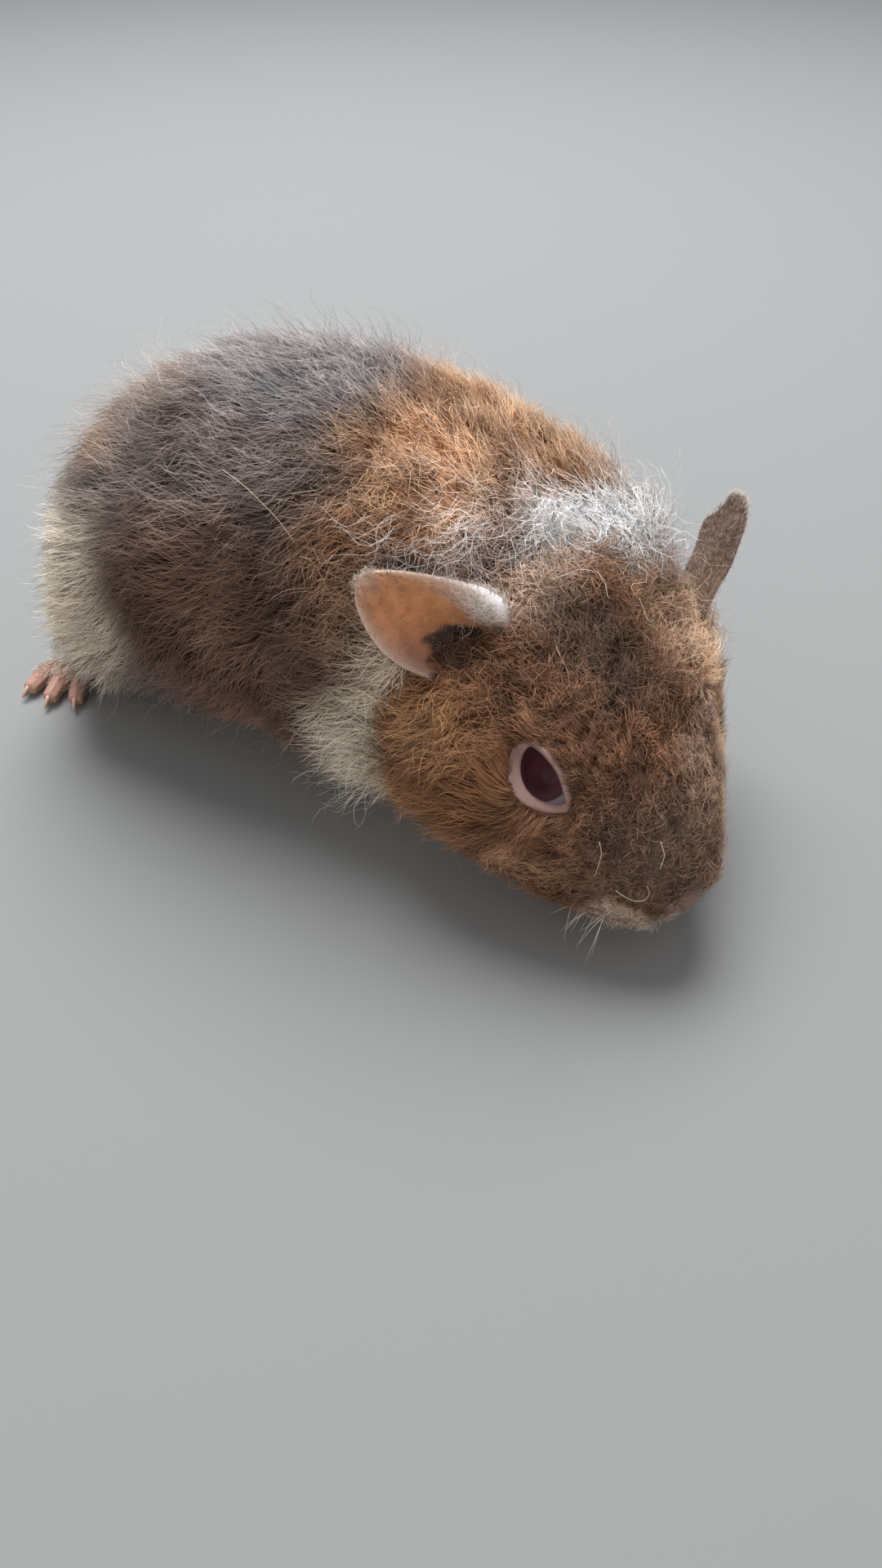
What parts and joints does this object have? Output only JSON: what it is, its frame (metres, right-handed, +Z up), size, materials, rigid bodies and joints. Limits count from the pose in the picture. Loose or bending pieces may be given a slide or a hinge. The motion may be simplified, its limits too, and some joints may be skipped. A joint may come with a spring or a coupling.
{
  "type": "guinea pig",
  "caption": "Young long-haired teddy guinea pig crouching with its head low and turned to its right, a still life-size model.",
  "frame": {"origin": "middle of the footprint of the whole animal, on the floor it rests on", "axes": "+X from the rump to the shoulders, +Y to the animal's left, +Z up; the soles lie at z = 0"},
  "size_m": [0.1424, 0.0878, 0.0745],
  "materials": {
    "coat_slate": "soft wavy hair, slate brown with silvery tips",
    "coat_rust": "short kinky hair, rust brown ticked with grey",
    "coat_ginger": "long wavy hair, golden ginger over slate",
    "coat_white": "long wavy hair, cream white",
    "ear_skin": "thin, soft and nearly bare",
    "nose_skin": "short velvety hair around damp nostrils",
    "foot_skin": "bare pink-brown skin with horn claws",
    "eye_dark": "wet and glossy"
  },
  "bodies": {
    "root": {"head": "coat_rust", "neck": "coat_white", "torso": "coat_ginger", "hindquarters": "coat_slate", "ear_left": "ear_skin", "ear_right": "ear_skin", "eye_left": "eye_dark", "eye_right": "eye_dark", "nose": "nose_skin", "foreleg_left": "foot_skin", "foreleg_right": "foot_skin", "hindleg_left": "coat_white", "hindleg_right": "coat_white", "forefoot_left": "foot_skin", "forefoot_right": "foot_skin", "hindfoot_left": "foot_skin", "hindfoot_right": "foot_skin"}
  },
  "joints": []
}
